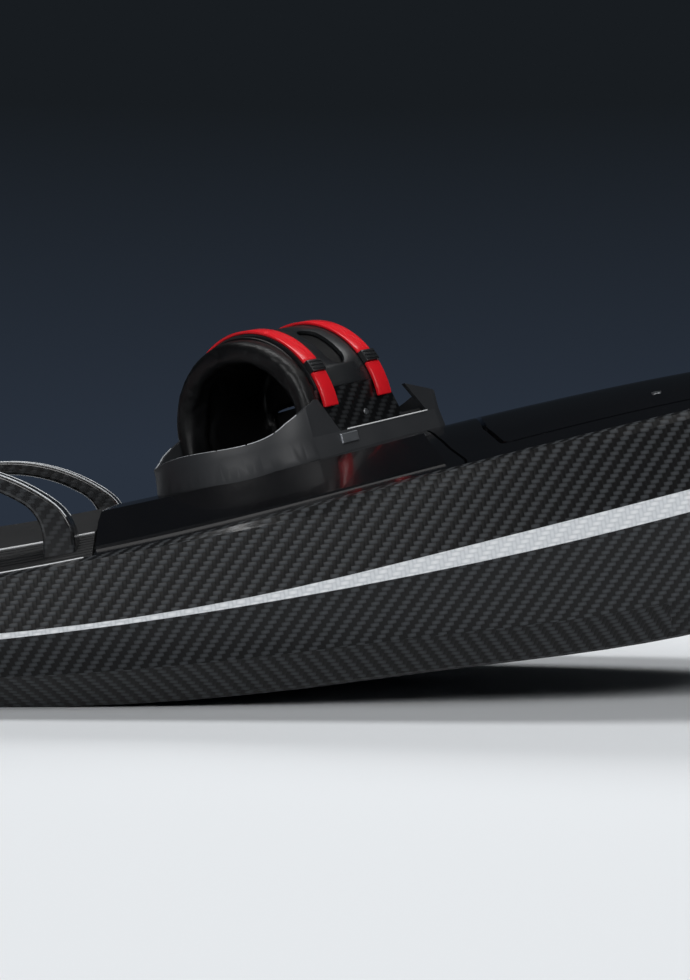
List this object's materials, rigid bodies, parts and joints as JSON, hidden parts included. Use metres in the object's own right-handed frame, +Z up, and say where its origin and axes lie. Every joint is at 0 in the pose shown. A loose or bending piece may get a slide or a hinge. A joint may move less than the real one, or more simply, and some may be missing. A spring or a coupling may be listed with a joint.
{
  "type": "motorized surfboard",
  "caption": "Electric jet surfboard: faceted carbon hull with a jet pump, front hatch, angled foot bindings with padded collars and red straps, and arched carry handles.",
  "frame": {"origin": "on the floor, under the middle of the hull's length and width", "axes": "+X to the bow, +Y to port, +Z up"},
  "size_m": [1.8, 0.6006, 0.4226],
  "materials": {
    "carbon": "gloss",
    "silver_carbon": "gloss",
    "deck_gloss": "gloss",
    "grip_foam": "matte",
    "soft_rubber": "satin",
    "sole_plastic": "satin",
    "collar_skin": "satin",
    "case_plastic": "satin",
    "red_strap": "gloss",
    "steel": "satin",
    "alloy": "satin",
    "motor_metal": "satin"
  },
  "bodies": {
    "root": {"hull": "carbon", "stripe_port": "silver_carbon", "stripe_starboard": "silver_carbon", "centre_deck": "deck_gloss", "fore_deck": "deck_gloss", "aft_deck_pad": "grip_foam", "side_pad_port": "grip_foam", "side_pad_starboard": "grip_foam", "bow_bumper": "soft_rubber", "hatch_seal": "soft_rubber", "hatch_bracket": "steel", "battery": "case_plastic", "motor": "motor_metal", "handle_port": "carbon", "handle_starboard": "carbon", "pump_housing": "alloy", "nozzle": "alloy", "intake_grate": "alloy", "ride_plate": "alloy", "front_binding_sole": "sole_plastic", "front_binding_footbed": "grip_foam", "front_binding_side_plates": "carbon", "front_binding_collar": "collar_skin", "front_binding_tongue": "case_plastic", "front_binding_straps": "red_strap", "front_binding_buckles": "case_plastic", "rear_binding_sole": "sole_plastic", "rear_binding_footbed": "grip_foam", "rear_binding_side_plates": "carbon", "rear_binding_collar": "collar_skin", "rear_binding_tongue": "case_plastic", "rear_binding_straps": "red_strap", "rear_binding_buckles": "case_plastic"},
    "impeller": {"impeller": "steel", "drive_shaft": "steel"},
    "hatch": {"hatch_lid": "deck_gloss"}
  },
  "joints": [
    {"name": "impeller_spin", "type": "hinge", "parent": "root", "child": "impeller", "pos_m": [-0.752, 0, 0.062], "axis": [1, 0, 0], "continuous": true},
    {"name": "hatch_hinge", "type": "hinge", "parent": "root", "child": "hatch", "pos_m": [0.652, 0, 0.37785], "axis": [0, 1, 0], "range_deg": [0, 80]}
  ]
}
